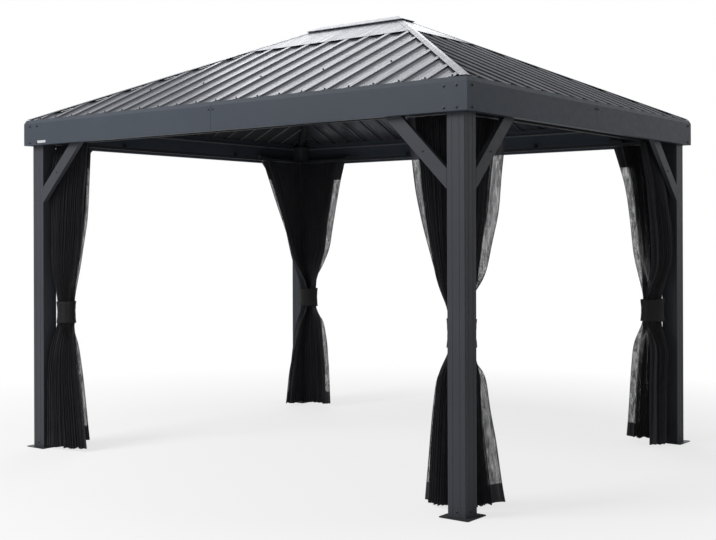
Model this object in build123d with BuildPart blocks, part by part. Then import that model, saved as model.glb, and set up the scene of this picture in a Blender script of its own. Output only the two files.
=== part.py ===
from build123d import *
import math
import os

os.makedirs("parts", exist_ok=True)

# Overall size, outer faces of the fascia beams
LENGTH = 3620.0
WIDTH = 2940.0
HEAD_ROOM = 2085.0
HALF_LENGTH = LENGTH / 2
HALF_WIDTH = WIDTH / 2
ROOT_TWO = math.sqrt(2)

# Fascia beams, a folded box section with a sloping lip along its top
BEAM_FACE = 150.0
BEAM_DEEP = 42.5
BEAM_WALL = 2.5
LIP_HIGH = 25.0
LIP_DEEP = 12.0
LIP_EDGE = 2.5
SEAM_GAP = 1.5

# Roof slopes, measured on the underside of the sheets
ROOF_RISE = 675.0
EAVE_BELOW_LIP = 13.0
EAVE_BEHIND_LIP = 1.5
SHEET = 1.5
RIB_PITCH = 168.5
RIB_SHIFT = 20.0
RIB_BASE = 40.0
RIB_HIGH = 12.0
RIB_SIDE_ANGLE = 72.0
RIB_FOOT_WIDE = 18.0
RIB_FOOT_RISE = 3.5
HIP_JOINT = 1.5

# Folded metal over the joints of the slopes
FLASHING_UP_SLOPE = 420.0
FLASHING_JOINT = 0.6
HIP_CAP_WING = 28.0
RIDGE_CAP_WING = 76.0
RIDGE_CAP_CORE = 56.0
RIDGE_CAP_LIFT = 7.0
RIDGE_CAP_PLATE = 4.0
CUT_PAST = 1.0

# Roof frame
RAFTER_WIDE = 40.0
RAFTER_DEEP = 60.0
RIDGE_BEAM_DEEP = 75.0
PURLIN_WIDE = 40.0
PURLIN_DEEP = 25.0
PURLIN_WALL = 2.0
PURLIN_UP_SLOPE = 475.0

# Posts and base plates
POST = 110.0
POST_WALL = 3.0
POST_CORNER = 4.0
POST_BELOW_EAVE = 10.0
GROOVE_WIDE = 3.0
GROOVE_DEEP = 1.0
GROOVE_SPREAD = 44.0
PLATE = 180.0
PLATE_THICK = 5.0
PLATE_CORNER = 6.0
ANCHOR_PITCH = 146.0
ANCHOR_RADIUS = 5.5

# Knee braces
BRACE_WIDE = 75.0
BRACE_THICK = 30.0
BRACE_WALL = 2.0
BRACE_REACH = 342.0
BRACE_INTO_BEAM = 60.0

# Curtain rails and their hangers
RAIL_WIDE = 25.0
RAIL_HIGH = 20.0
RAIL_WALL = 2.0
RAIL_SLOT = 8.0
RAIL_ABOVE_HEAD = 8.0
RAIL_ON_POST = 60.0
HANGER_WIDE = 30.0
HANGER_THICK = 3.0
HANGER_FLANGE = 40.0
HANGER_SPREAD = 1200.0

# Curtains, one gathered bundle in each corner, with its reach along the rails at each height
BUNDLE_CLEAR = 4.0
BUNDLE_BEVEL = 20.0
PLEAT_WIDE = 30.0
PLEAT_DEEP = 16.0
HEADER_REACH = 345.0
WAIST_REACH = 150.0
WAIST_NOTCH = 28.0
HEM_REACH = 265.0
HEM_ABOVE_GROUND = 12.0
TIE_HIGH = 150.0
TIE_THICK = 3.0
TIE_LOW = 855.0
WAIST_MARGIN = 12.0

# Values that follow from the sizes above
LIP_TOP = HEAD_ROOM + BEAM_FACE + LIP_HIGH
EAVE_TOP = LIP_TOP - EAVE_BELOW_LIP
EAVE_EDGE = LIP_DEEP + LIP_EDGE + EAVE_BEHIND_LIP
PITCH = math.atan(ROOF_RISE / (HALF_WIDTH - LIP_DEEP))
SLOPE_RUN = HALF_WIDTH / math.cos(PITCH)
RIDGE_UNDER = EAVE_TOP + ROOF_RISE
BEAM_INNER_TOP = EAVE_TOP + (BEAM_DEEP - LIP_DEEP) * math.tan(PITCH)
RIB_TOP = RIB_HIGH + SHEET
CAP_UNDER = RIB_TOP + SHEET
CAP_TOP = CAP_UNDER + SHEET
RIDGE_CAP_PLATE_TOP = CAP_TOP + RIDGE_CAP_LIFT + RIDGE_CAP_PLATE
POST_CENTRE_X = HALF_LENGTH - BEAM_DEEP - POST / 2
POST_CENTRE_Y = HALF_WIDTH - BEAM_DEEP - POST / 2
POST_INNER_X = POST_CENTRE_X - POST / 2
POST_INNER_Y = POST_CENTRE_Y - POST / 2
POST_TOP = EAVE_TOP - POST_BELOW_EAVE
RAIL_UNDER = HEAD_ROOM + RAIL_ABOVE_HEAD
TIE_TOP = TIE_LOW + TIE_HIGH
BUNDLE_FAR = WAIST_REACH - WAIST_NOTCH

CORNERS = {
    "front_right": (1, -1),
    "front_left": (-1, -1),
    "back_right": (1, 1),
    "back_left": (-1, 1),
}

# Each side has the direction along its eave, the direction inwards, and the half length of its eave
SIDES = {
    "front": (Vector(1, 0, 0), Vector(0, 1, 0), HALF_LENGTH, HALF_WIDTH),
    "right": (Vector(0, 1, 0), Vector(-1, 0, 0), HALF_WIDTH, HALF_LENGTH),
    "back": (Vector(-1, 0, 0), Vector(0, -1, 0), HALF_LENGTH, HALF_WIDTH),
    "left": (Vector(0, -1, 0), Vector(1, 0, 0), HALF_WIDTH, HALF_LENGTH),
}
UP = Vector(0, 0, 1)


def slope_plane(side):
    """The cross section of a slope at its eave: x along the eave, y outwards from the sheet."""
    along, inward, half, away = SIDES[side]
    foot = inward * (LIP_DEEP - away) + UP * EAVE_TOP
    uphill = inward * math.cos(PITCH) + UP * math.sin(PITCH)
    return Plane(origin=foot - uphill * BEAM_DEEP, x_dir=along * -1, z_dir=uphill)


def underside(side):
    """The underside of a slope's sheet, facing the sky."""
    along, inward, half, away = SIDES[side]
    foot = inward * (LIP_DEEP - away) + UP * EAVE_TOP
    return Plane(origin=foot, x_dir=along, z_dir=UP * math.cos(PITCH) - inward * math.sin(PITCH))


def plan_between(side, near, far, hip_gap):
    """The plan of one side between two depths from its fascia, held back from both hips."""
    along, inward, half, away = SIDES[side]
    near_half = half - near - hip_gap * ROOT_TWO
    far_depth = min(far, half - (hip_gap + CUT_PAST) * ROOT_TWO)
    far_half = half - far_depth - hip_gap * ROOT_TWO
    with BuildSketch(Plane(origin=inward * -away, x_dir=along, z_dir=UP)) as plan:
        with BuildLine():
            Polyline(
                (-near_half, near),
                (near_half, near),
                (far_half, far_depth),
                (-far_half, far_depth),
                close=True,
            )
        make_face()
    return plan.sketch


def rib_points(widen, lift):
    """The corners of a rib's cross section, a steep crest with a shallow foot on each side."""
    run = (RIB_HIGH - RIB_FOOT_RISE) / math.tan(math.radians(RIB_SIDE_ANGLE))
    half_base = RIB_BASE / 2 + widen
    right = [
        (RIB_BASE / 2 + RIB_FOOT_WIDE, lift),
        (half_base, RIB_FOOT_RISE + lift),
        (half_base - run, RIB_HIGH + lift),
    ]
    return right + [(-x, y) for x, y in reversed(right)]


def laid_sheet(side, lift, plan):
    """Flat metal parallel to a slope, lifted off its underside and trimmed to a plan."""
    half = SIDES[side][2]
    with BuildPart() as piece:
        with BuildSketch(slope_plane(side)):
            with Locations((0, lift)):
                Rectangle(2 * half, SHEET, align=(Align.CENTER, Align.MIN))
        extrude(amount=SLOPE_RUN + BEAM_DEEP)
        extrude(plan, amount=2 * EAVE_TOP, mode=Mode.INTERSECT)
    return piece.part


def wing_plan(sx, sy, wing_x, wing_y):
    """The plan of one wing of a hip cap, a strip beside the hip from the eave to the ridge."""
    low = (sx * (HALF_LENGTH - EAVE_EDGE), sy * (HALF_WIDTH - EAVE_EDGE))
    high = (sx * (HALF_LENGTH - HALF_WIDTH + FLASHING_JOINT), sy * FLASHING_JOINT)
    low_out = (low[0] - sx * wing_x, low[1] - sy * wing_y)
    high_out = (high[0] - sx * wing_x + sx * wing_y, high[1])
    with BuildSketch() as plan:
        with BuildLine():
            Polyline(low, low_out, high_out, high, close=True)
        make_face()
    return plan.sketch


def hipped_block(wing, lift):
    """A block round the ridge, its top parallel to all four slopes."""
    with BuildPart() as block:
        with BuildSketch(Plane.XY.offset(EAVE_TOP)):
            Rectangle(2 * (HALF_LENGTH - HALF_WIDTH + wing), 2 * wing)
        extrude(amount=2 * ROOF_RISE)
        for side in SIDES:
            split(bisect_by=underside(side).offset(lift), keep=Keep.BOTTOM)
    return block.part


def purlin_piece(side):
    """A box-section purlin under the middle of one slope, cut against the hip rafters."""
    across = underside(side)
    between_hips = plan_between(side, LIP_DEEP, HALF_WIDTH, RAFTER_WIDE / 2)
    with BuildPart() as piece:
        with BuildSketch(Plane(origin=across.origin, x_dir=across.y_dir, z_dir=across.x_dir)):
            with Locations((PURLIN_UP_SLOPE, -PURLIN_DEEP / 2)):
                Rectangle(PURLIN_WIDE, PURLIN_DEEP)
                Rectangle(PURLIN_WIDE - 2 * PURLIN_WALL, PURLIN_DEEP - 2 * PURLIN_WALL, mode=Mode.SUBTRACT)
        extrude(amount=SIDES[side][2], both=True)
        extrude(between_hips, amount=2 * EAVE_TOP, mode=Mode.INTERSECT)
    return piece.part


def bundle_sketch(corner, height, arm):
    """A closed outline symmetric about the corner's diagonal, given the half beside one rail."""
    sx, sy = CORNERS[corner]
    other_arm = [(y, x) for x, y in reversed(arm) if x != y]
    outline = [(sx * (POST_INNER_X - x), sy * (POST_INNER_Y - y)) for x, y in arm + other_arm]
    with BuildSketch(Plane.XY.offset(height)) as sketch:
        with BuildLine():
            Polyline(*outline, close=True)
        make_face()
    return sketch.sketch


def bundle_outline(corner, height, reach):
    """A gathered curtain's outline at one height: an arm along each rail, with a pleat in its outer face."""
    near = BUNDLE_CLEAR
    pleat = (near + reach) / 2
    arm = [
        (near + BUNDLE_BEVEL, near),
        (pleat - PLEAT_WIDE / 2, near),
        (pleat, near + PLEAT_DEEP),
        (pleat + PLEAT_WIDE / 2, near),
        (reach - BUNDLE_BEVEL, near),
        (reach, near + BUNDLE_BEVEL),
        (reach, BUNDLE_FAR - BUNDLE_BEVEL),
        (reach - BUNDLE_BEVEL, BUNDLE_FAR),
        (BUNDLE_FAR, BUNDLE_FAR),
    ]
    return bundle_sketch(corner, height, arm)


def waist_band(corner):
    """The outline that a tie follows round the waist of a bundle."""
    near = BUNDLE_CLEAR
    arm = [
        (near + BUNDLE_BEVEL, near),
        (WAIST_REACH - BUNDLE_BEVEL, near),
        (WAIST_REACH, near + BUNDLE_BEVEL),
        (WAIST_REACH, BUNDLE_FAR - BUNDLE_BEVEL),
    ]
    return bundle_sketch(corner, TIE_LOW, arm)


# Posts with shallow grooves down each face, on plates with four anchor holes
for corner, (sx, sy) in CORNERS.items():
    place = (sx * POST_CENTRE_X, sy * POST_CENTRE_Y)
    with BuildPart() as post:
        with BuildSketch(Plane.XY.offset(PLATE_THICK)):
            with Locations(place):
                RectangleRounded(POST, POST, POST_CORNER)
                Rectangle(POST - 2 * POST_WALL, POST - 2 * POST_WALL, mode=Mode.SUBTRACT)
                with GridLocations(GROOVE_SPREAD, POST - GROOVE_DEEP, 2, 2):
                    Rectangle(GROOVE_WIDE, GROOVE_DEEP, mode=Mode.SUBTRACT)
                with GridLocations(POST - GROOVE_DEEP, GROOVE_SPREAD, 2, 2):
                    Rectangle(GROOVE_DEEP, GROOVE_WIDE, mode=Mode.SUBTRACT)
        extrude(amount=POST_TOP - PLATE_THICK)
    post.part.label = f"post_{corner}"
    export_step(post.part, f"parts/post_{corner}.step")

    with BuildPart() as base_plate:
        with BuildSketch():
            with Locations(place):
                plate = Rectangle(PLATE, PLATE)
                chamfer(plate.vertices(), PLATE_CORNER)
                with GridLocations(ANCHOR_PITCH, ANCHOR_PITCH, 2, 2):
                    Circle(ANCHOR_RADIUS, mode=Mode.SUBTRACT)
        extrude(amount=PLATE_THICK)
    base_plate.part.label = f"base_plate_{corner}"
    export_step(base_plate.part, f"parts/base_plate_{corner}.step")

# Knee braces, square tube cut plumb against the post and level behind the beam
for corner, (sx, sy) in CORNERS.items():
    brace_top = HEAD_ROOM + BRACE_INTO_BEAM
    centre_x = POST_CENTRE_X + POST / 2 - BRACE_THICK / 2
    centre_y = POST_CENTRE_Y + POST / 2 - BRACE_THICK / 2
    along_length = Plane(
        origin=(sx * (POST_INNER_X - BRACE_REACH), sy * centre_y, HEAD_ROOM),
        x_dir=(0, 1, 0),
        z_dir=(-sx, 0, 1),
    )
    along_width = Plane(
        origin=(sx * centre_x, sy * (POST_INNER_Y - BRACE_REACH), HEAD_ROOM),
        x_dir=(1, 0, 0),
        z_dir=(0, -sy, 1),
    )
    with BuildPart() as braces:
        with BuildSketch(along_length):
            Rectangle(BRACE_THICK, BRACE_WIDE)
            Rectangle(BRACE_THICK - 2 * BRACE_WALL, BRACE_WIDE - 2 * BRACE_WALL, mode=Mode.SUBTRACT)
        extrude(amount=2 * BRACE_REACH, both=True)
        split(bisect_by=Plane(origin=(sx * POST_INNER_X, 0, 0), z_dir=(-sx, 0, 0)), keep=Keep.TOP)
        split(bisect_by=Plane.XY.offset(brace_top), keep=Keep.BOTTOM)
        with BuildSketch(along_width):
            Rectangle(BRACE_THICK, BRACE_WIDE)
            Rectangle(BRACE_THICK - 2 * BRACE_WALL, BRACE_WIDE - 2 * BRACE_WALL, mode=Mode.SUBTRACT)
        extrude(amount=2 * BRACE_REACH, both=True)
        split(bisect_by=Plane.XY.offset(brace_top), keep=Keep.BOTTOM)
        with BuildSketch(Plane.XY):
            with Locations((sx * (POST_CENTRE_X - HALF_LENGTH), sy * POST_CENTRE_Y)):
                Rectangle(LENGTH, POST)
            with Locations((sx * POST_CENTRE_X, sy * (POST_CENTRE_Y - HALF_LENGTH))):
                Rectangle(POST, LENGTH)
            with Locations((sx * POST_CENTRE_X, sy * POST_CENTRE_Y)):
                Rectangle(POST, POST, mode=Mode.SUBTRACT)
        extrude(amount=EAVE_TOP, mode=Mode.INTERSECT)
    braces.part.label = f"braces_{corner}"
    export_step(braces.part, f"parts/braces_{corner}.step")

# Fascia beams, each in two lengths that meet at a seam halfway, mitred at the corners
for side, (along, inward, half, away) in SIDES.items():
    mitre = plan_between(side, -LIP_DEEP, BEAM_DEEP + LIP_DEEP, 0)
    with BuildPart() as beam:
        with BuildSketch(Plane(origin=inward * -away, x_dir=inward, z_dir=inward.cross(UP))):
            with BuildLine():
                Polyline(
                    (0, HEAD_ROOM),
                    (BEAM_DEEP, HEAD_ROOM),
                    (BEAM_DEEP, BEAM_INNER_TOP),
                    (LIP_DEEP + LIP_EDGE, EAVE_TOP + LIP_EDGE * math.tan(PITCH)),
                    (LIP_DEEP + LIP_EDGE, LIP_TOP),
                    (LIP_DEEP, LIP_TOP),
                    (0, HEAD_ROOM + BEAM_FACE),
                    close=True,
                )
            make_face()
            offset(amount=-BEAM_WALL, mode=Mode.SUBTRACT)
        extrude(amount=half, both=True)
        extrude(mitre, amount=2 * EAVE_TOP, mode=Mode.INTERSECT)
        with BuildSketch(Plane(origin=inward * -away, x_dir=along, z_dir=UP)):
            Rectangle(SEAM_GAP, 4 * BEAM_DEEP)
        extrude(amount=2 * EAVE_TOP, mode=Mode.SUBTRACT)
    beam.part.label = f"beam_{side}"
    export_step(beam.part, f"parts/beam_{side}.step")

# Curtain rails on the inner faces of the posts, with two hangers to each beam
for side, (along, inward, half, away) in SIDES.items():
    rail_face = BEAM_DEEP + POST
    long_half = half - rail_face + RAIL_ON_POST
    short_half = half - rail_face - RAIL_WIDE
    rail_half = long_half if side in ("front", "back") else short_half
    with BuildPart() as rail:
        with BuildSketch(Plane(origin=inward * -away, x_dir=inward, z_dir=inward.cross(UP))):
            with Locations((rail_face + RAIL_WIDE / 2, RAIL_UNDER + RAIL_HIGH / 2)):
                Rectangle(RAIL_WIDE, RAIL_HIGH)
                Rectangle(RAIL_WIDE - 2 * RAIL_WALL, RAIL_HIGH - 2 * RAIL_WALL, mode=Mode.SUBTRACT)
            with Locations((rail_face + RAIL_WIDE / 2, RAIL_UNDER + RAIL_WALL / 2)):
                Rectangle(RAIL_SLOT, RAIL_WALL, mode=Mode.SUBTRACT)
        extrude(amount=rail_half, both=True)
        with BuildSketch(Plane(origin=inward * -away, x_dir=along, z_dir=UP).offset(RAIL_UNDER + RAIL_HIGH)):
            with Locations((0, (BEAM_DEEP + rail_face + RAIL_WIDE) / 2)):
                with GridLocations(HANGER_SPREAD, 0, 2, 1):
                    Rectangle(HANGER_WIDE, POST + RAIL_WIDE)
        extrude(amount=HANGER_THICK)
        with BuildSketch(Plane(origin=inward * -away, x_dir=along, z_dir=UP).offset(RAIL_UNDER + RAIL_HIGH)):
            with Locations((0, BEAM_DEEP + HANGER_THICK / 2)):
                with GridLocations(HANGER_SPREAD, 0, 2, 1):
                    Rectangle(HANGER_WIDE, HANGER_THICK)
        extrude(amount=HANGER_FLANGE)
    rail.part.label = f"curtain_rail_{side}"
    export_step(rail.part, f"parts/curtain_rail_{side}.step")

# Hip rafters, seated level on the posts, their tops bevelled to both slopes
for corner, (sx, sy) in CORNERS.items():
    inwards = Vector(-sx, -sy, 0).normalized()
    rise = math.tan(PITCH) / ROOT_TWO
    start = (BEAM_DEEP - LIP_DEEP) * ROOT_TWO + RAFTER_WIDE / 2
    seat_end = (RAFTER_DEEP - POST_BELOW_EAVE) / rise
    finish = (HALF_WIDTH - LIP_DEEP) * ROOT_TWO
    elevation = Plane(
        origin=(sx * (HALF_LENGTH - LIP_DEEP), sy * (HALF_WIDTH - LIP_DEEP), EAVE_TOP),
        x_dir=inwards,
        z_dir=inwards.cross(UP),
    )
    with BuildPart() as rafter:
        with BuildSketch(elevation):
            with BuildLine():
                Polyline(
                    (start, -POST_BELOW_EAVE),
                    (seat_end, -POST_BELOW_EAVE),
                    (finish, finish * rise - RAFTER_DEEP),
                    (finish, finish * rise),
                    (start, start * rise),
                    close=True,
                )
            make_face()
        extrude(amount=RAFTER_WIDE / 2, both=True)
        split(bisect_by=underside("front" if sy < 0 else "back"), keep=Keep.BOTTOM)
        split(bisect_by=underside("right" if sx > 0 else "left"), keep=Keep.BOTTOM)
        split(bisect_by=Plane(origin=(0, sy * RAFTER_WIDE / 2, 0), z_dir=(0, sy, 0)), keep=Keep.TOP)
    rafter.part.label = f"hip_rafter_{corner}"
    export_step(rafter.part, f"parts/hip_rafter_{corner}.step")

# Ridge beam between the four hip rafters, its top bevelled to all four slopes
ridge_half = HALF_LENGTH - HALF_WIDTH + RAFTER_WIDE / 2 + RAFTER_WIDE / ROOT_TWO
with BuildPart() as ridge_beam:
    with BuildSketch(Plane.XY.offset(RIDGE_UNDER - RIDGE_BEAM_DEEP)):
        Rectangle(2 * ridge_half, RAFTER_WIDE)
    extrude(amount=RIDGE_BEAM_DEEP)
    for side in SIDES:
        split(bisect_by=underside(side), keep=Keep.BOTTOM)
ridge_beam.part.label = "ridge_beam"
export_step(ridge_beam.part, "parts/ridge_beam.step")

# Purlins under the middle of each slope, cut against the sides of the hip rafters
with BuildPart() as purlins:
    add([purlin_piece(side) for side in SIDES])
purlins.part.label = "purlins"
export_step(purlins.part, "parts/purlins.step")

# Ribbed roof sheets, mitred along the hips
for side, (along, inward, half, away) in SIDES.items():
    rib_count = 2 * math.floor((half - RIB_BASE) / RIB_PITCH) + 1
    side_wall = SHEET / math.sin(math.radians(RIB_SIDE_ANGLE))
    rib_feet = [(-RIB_BASE / 2 - RIB_FOOT_WIDE, 0), (RIB_BASE / 2 + RIB_FOOT_WIDE, 0)]
    slope = plan_between(side, EAVE_EDGE, HALF_WIDTH - HIP_JOINT, HIP_JOINT)
    with BuildPart() as sheet:
        with BuildSketch(slope_plane(side)):
            Rectangle(2 * half, SHEET, align=(Align.CENTER, Align.MIN))
            with Locations((-RIB_SHIFT, 0)):
                with GridLocations(RIB_PITCH, 0, rib_count, 1):
                    Polygon(*rib_points(side_wall, SHEET), *rib_feet, align=None)
                    Polygon(*rib_points(0, 0), align=None, mode=Mode.SUBTRACT)
        extrude(amount=SLOPE_RUN + BEAM_DEEP)
        extrude(slope, amount=2 * EAVE_TOP, mode=Mode.INTERSECT)
    sheet.part.label = f"roof_sheet_{side}"
    export_step(sheet.part, f"parts/roof_sheet_{side}.step")

# Crown flashing, four flat sheets laid on the ribs round the ridge
crown_low = HALF_WIDTH - FLASHING_UP_SLOPE * math.cos(PITCH)
crown_high = HALF_WIDTH - FLASHING_JOINT
crown_plans = {side: plan_between(side, crown_low, crown_high, FLASHING_JOINT) for side in SIDES}
with BuildPart() as crown:
    add([laid_sheet(side, RIB_TOP, plan) for side, plan in crown_plans.items()])
crown.part.label = "crown_flashing"
export_step(crown.part, "parts/crown_flashing.step")

# Hip caps, each folded over a hip with one wing on each slope
for corner, (sx, sy) in CORNERS.items():
    wing = HIP_CAP_WING * ROOT_TWO
    long_side = "front" if sy < 0 else "back"
    short_side = "right" if sx > 0 else "left"
    with BuildPart() as hip_cap:
        add(laid_sheet(long_side, CAP_UNDER, wing_plan(sx, sy, wing, 0)))
        add(laid_sheet(short_side, CAP_UNDER, wing_plan(sx, sy, 0, wing)))
    hip_cap.part.label = f"hip_cap_{corner}"
    export_step(hip_cap.part, f"parts/hip_cap_{corner}.step")

# Ridge cap, a small hipped plate raised on a core that sits on the tops of the hip caps
with BuildPart() as ridge_cap:
    add(hipped_block(RIDGE_CAP_WING, RIDGE_CAP_PLATE_TOP))
    add(hipped_block(RIDGE_CAP_WING + CUT_PAST, CAP_TOP + RIDGE_CAP_LIFT), mode=Mode.SUBTRACT)
    add(hipped_block(RIDGE_CAP_CORE, RIDGE_CAP_PLATE_TOP))
    add(hipped_block(RIDGE_CAP_CORE + CUT_PAST, CAP_TOP), mode=Mode.SUBTRACT)
ridge_cap.part.label = "ridge_cap"
export_step(ridge_cap.part, "parts/ridge_cap.step")

# Curtains gathered in the corners, narrowed to a waist where the tie goes round
for corner in CORNERS:
    hem = bundle_outline(corner, HEM_ABOVE_GROUND, HEM_REACH)
    waist_low = bundle_outline(corner, TIE_LOW - WAIST_MARGIN, WAIST_REACH)
    waist_high = bundle_outline(corner, TIE_TOP + WAIST_MARGIN, WAIST_REACH)
    header = bundle_outline(corner, RAIL_UNDER, HEADER_REACH)
    with BuildPart() as curtain:
        loft([hem, waist_low], ruled=True)
        loft([waist_low, waist_high], ruled=True)
        loft([waist_high, header], ruled=True)
    curtain.part.label = f"curtain_{corner}"
    export_step(curtain.part, f"parts/curtain_{corner}.step")

    inside = waist_band(corner)
    with BuildPart() as tie:
        extrude(offset(inside, amount=TIE_THICK, kind=Kind.INTERSECTION), amount=TIE_HIGH)
        extrude(inside, amount=TIE_HIGH, mode=Mode.SUBTRACT)
    tie.part.label = f"curtain_tie_{corner}"
    export_step(tie.part, f"parts/curtain_tie_{corner}.step")
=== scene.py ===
from collections import namedtuple
import math

import bpy
import numpy as np
from mathutils import Matrix, Vector


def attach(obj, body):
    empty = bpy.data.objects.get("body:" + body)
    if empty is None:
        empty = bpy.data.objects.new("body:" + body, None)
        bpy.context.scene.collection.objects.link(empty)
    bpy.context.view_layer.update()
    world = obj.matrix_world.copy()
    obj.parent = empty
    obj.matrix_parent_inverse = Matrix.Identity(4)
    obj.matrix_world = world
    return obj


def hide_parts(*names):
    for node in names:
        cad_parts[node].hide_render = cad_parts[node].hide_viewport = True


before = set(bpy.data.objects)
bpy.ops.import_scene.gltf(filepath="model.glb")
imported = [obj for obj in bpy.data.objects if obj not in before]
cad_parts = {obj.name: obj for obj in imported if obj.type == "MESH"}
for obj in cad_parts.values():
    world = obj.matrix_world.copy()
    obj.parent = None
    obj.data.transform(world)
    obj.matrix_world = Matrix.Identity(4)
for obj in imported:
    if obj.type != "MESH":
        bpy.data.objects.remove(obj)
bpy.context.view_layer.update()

UP = Vector((0, 0, 1))

# Sizes of the gazebo in metres
HALF_LENGTH = 1.81
HALF_WIDTH = 1.47
HEAD_ROOM = 2.085
BEAM_DEEP = 0.0425
LIP_DEEP = 0.012
EAVE = 2.247
ROOF_RISE = 0.675
PITCH = math.atan(ROOF_RISE / (HALF_WIDTH - LIP_DEEP))
RIB_PITCH = 0.1685
RIB_SHIFT = 0.02
RIB_CREST = 0.0135
POST_INNER_X = 1.6575
POST_INNER_Y = 1.3175
POST_MIDDLE_X = 1.7125
POST_MIDDLE_Y = 1.3725
POST_OUTER_X = 1.7675
POST_OUTER_Y = 1.4275
RAIL_UNDER = 2.093
RAIL_MIDDLE = 0.0125
TIE_LOW = 0.855
TIE_TOP = 1.005

CORNERS = {
    "front_right": (1, -1),
    "front_left": (-1, -1),
    "back_right": (1, 1),
    "back_left": (-1, 1),
}

# Each side has the direction along its eave, the direction inwards, the half length of its eave,
# and its distance from the middle
SIDES = {
    "front": (Vector((1, 0, 0)), Vector((0, 1, 0)), HALF_LENGTH, HALF_WIDTH),
    "right": (Vector((0, 1, 0)), Vector((-1, 0, 0)), HALF_WIDTH, HALF_LENGTH),
    "back": (Vector((-1, 0, 0)), Vector((0, -1, 0)), HALF_LENGTH, HALF_WIDTH),
    "left": (Vector((0, -1, 0)), Vector((1, 0, 0)), HALF_WIDTH, HALF_LENGTH),
}
LONG_SIDES = ("front", "back")

# The camera, level and at eye height, fitted to the eaves and posts in pixels of the picture
CAMERA_PLACE = (4.955, -6.4555, 1.4376)
CAMERA_TURN = 0.6566
CAMERA_ROLL = -0.0032
FOCAL_PIXELS = 1163.95
PICTURE_WIDE = 716
PICTURE_HIGH = 540
HORIZON_ROW = 238.24
SENSOR_WIDE = 36.0


# Ways of making, picking and changing objects
def link(name, data):
    item = bpy.data.objects.new(name, data)
    bpy.context.scene.collection.objects.link(item)
    return item


def pick(*objects):
    bpy.ops.object.select_all(action="DESELECT")
    for item in objects:
        item.select_set(True)
    bpy.context.view_layer.objects.active = objects[0]


def edit(piece, faces=None, edges=None):
    """Goes into edit mode with only the faces or edges that pass a test selected."""
    pick(piece)
    bpy.ops.object.mode_set(mode="EDIT")
    bpy.ops.mesh.select_all(action="DESELECT")
    bpy.ops.object.mode_set(mode="OBJECT")
    mesh = piece.data
    if faces:
        bpy.context.tool_settings.mesh_select_mode = (False, False, True)
        for face in mesh.polygons:
            face.select = faces(face.center, face.normal)
    if edges:
        bpy.context.tool_settings.mesh_select_mode = (False, True, False)
        for edge in mesh.edges:
            a, b = (mesh.vertices[v].co for v in edge.vertices)
            edge.select = edges(a, b)
    bpy.ops.object.mode_set(mode="EDIT")


def leave_edit():
    bpy.ops.object.mode_set(mode="OBJECT")


def raise_panel(piece, faces, rim, move):
    """Insets the faces that pass a test by the width of a rim, and moves what is inside it."""
    edit(piece, faces=faces)
    bpy.ops.mesh.inset(thickness=rim)
    bpy.ops.transform.translate(value=move)
    leave_edit()


def fold_out(piece, faces, move):
    """Extrudes the faces that pass a test."""
    edit(piece, faces=faces)
    bpy.ops.mesh.extrude_region_move(TRANSFORM_OT_translate={"value": move})
    leave_edit()


def settle(piece):
    """Puts a piece's place into its mesh, with its object at the origin."""
    pick(piece)
    bpy.ops.object.transform_apply(location=True, rotation=True, scale=True)


def discard(piece):
    pick(piece)
    bpy.ops.object.delete()


def finish_piece(piece, name, material, replaced=()):
    piece.name = name
    piece.data.name = name
    piece.data.materials.clear()
    piece.data.materials.append(material)
    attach(piece, "root")
    if replaced:
        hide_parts(*replaced)


def copy_to(template, places, name, material):
    """Copies a small piece to each place and joins the copies into one piece."""
    copies = []
    for place in places:
        copy = template.copy()
        copy.data = template.data.copy()
        bpy.context.scene.collection.objects.link(copy)
        copy.matrix_world = place
        copies.append(copy)
    pick(*copies)
    bpy.ops.object.join()
    piece = bpy.context.active_object
    settle(piece)
    finish_piece(piece, name, material)


# Places on the gazebo
def facing(point, outward, up=UP):
    """A place whose Z points outwards and whose Y points up."""
    z = outward.normalized()
    x = up.cross(z).normalized()
    y = z.cross(x)
    return Matrix.Translation(point) @ Matrix((x, y, z)).transposed().to_4x4()


def fascia_place(side, along_by, height):
    """A place on the outer face of a fascia beam whose Z points straight out of it."""
    along, inward, _, away = SIDES[side]
    return facing(along * along_by - inward * away + UP * height, -inward)


def slope_place(side, along_by, uphill_by, lift):
    """A place on a roof slope whose Z points straight out of the sheet."""
    along, inward, _, away = SIDES[side]
    uphill = inward * math.cos(PITCH) + UP * math.sin(PITCH)
    outward = UP * math.cos(PITCH) - inward * math.sin(PITCH)
    foot = inward * (LIP_DEEP - away) + UP * EAVE
    return facing(foot + along * along_by + uphill * uphill_by + outward * lift, outward, uphill)


def corner_point(corner, u, v):
    """X and Y of a point that is u and v inwards from the inner corner of a post."""
    sx, sy = CORNERS[corner]
    return sx * (POST_INNER_X - u), sy * (POST_INNER_Y - v)


def place_camera():
    camera = link("camera", bpy.data.cameras.new("camera"))
    level = Matrix.Rotation(CAMERA_TURN, 4, "Z") @ Matrix.Rotation(math.pi / 2, 4, "X")
    turn = level @ Matrix.Rotation(CAMERA_ROLL, 4, "Z")
    camera.matrix_world = Matrix.Translation(CAMERA_PLACE) @ turn
    camera.data.sensor_width = SENSOR_WIDE
    camera.data.lens = FOCAL_PIXELS / PICTURE_WIDE * SENSOR_WIDE
    camera.data.shift_y = (HORIZON_ROW - PICTURE_HIGH / 2) / PICTURE_WIDE
    bpy.context.scene.camera = camera


# Nodes for the materials and the light
def fill(node, values):
    """Sets a node's inputs by their names."""
    for name, value in values.items():
        node.inputs[name].default_value = value


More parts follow.
